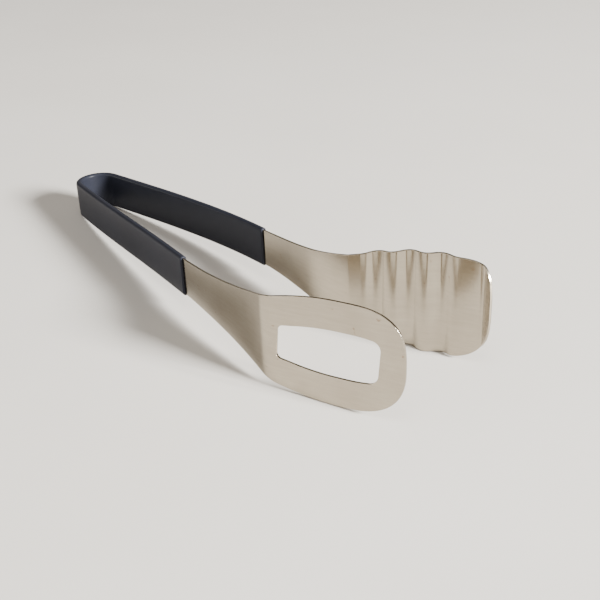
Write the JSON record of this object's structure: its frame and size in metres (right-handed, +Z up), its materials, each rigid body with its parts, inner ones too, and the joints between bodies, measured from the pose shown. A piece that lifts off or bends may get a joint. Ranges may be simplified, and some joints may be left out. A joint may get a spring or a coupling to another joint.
{
  "type": "spring tongs",
  "caption": "Spring tongs bent from one stainless strip, with a flat open frame blade, a solid ridged blade and a dark vinyl sleeve over the bow and handles.",
  "frame": {"origin": "middle of the footprint, on the surface that the tongs lie on", "axes": "+X from the bow towards the blades, +Y towards the ridged blade's side, +Z up; the tongs lie on edge, on the bow and on both blades' lower edges"},
  "size_m": [0.2389, 0.0723, 0.0435],
  "materials": {
    "steel": "satin polished stainless sheet",
    "vinyl": "semi-gloss dipped vinyl, dark navy"
  },
  "bodies": {
    "bow": {"spring_bow": "steel", "bow_grip": "vinyl"},
    "frame_arm": {"frame_blade": "steel", "frame_grip": "vinyl"},
    "ridged_arm": {"ridged_blade": "steel", "ridged_grip": "vinyl"}
  },
  "joints": [
    {"name": "frame_flex", "type": "hinge", "parent": "bow", "child": "frame_arm", "pos_m": [-0.10903, -0.01603, 0.00958], "axis": [-0.059, 0, 0.9983], "range_deg": [-2, 5.9], "stiffness_Nm_per_rad": 7.7},
    {"name": "ridged_flex", "type": "hinge", "parent": "bow", "child": "ridged_arm", "pos_m": [-0.10925, 0.00355, 0.00956], "axis": [-0.059, 0, 0.9983], "range_deg": [-5.9, 2], "stiffness_Nm_per_rad": 7.7}
  ],
  "couplings": [
    {"joint": "ridged_flex", "follows": "frame_flex", "ratio": -1}
  ]
}
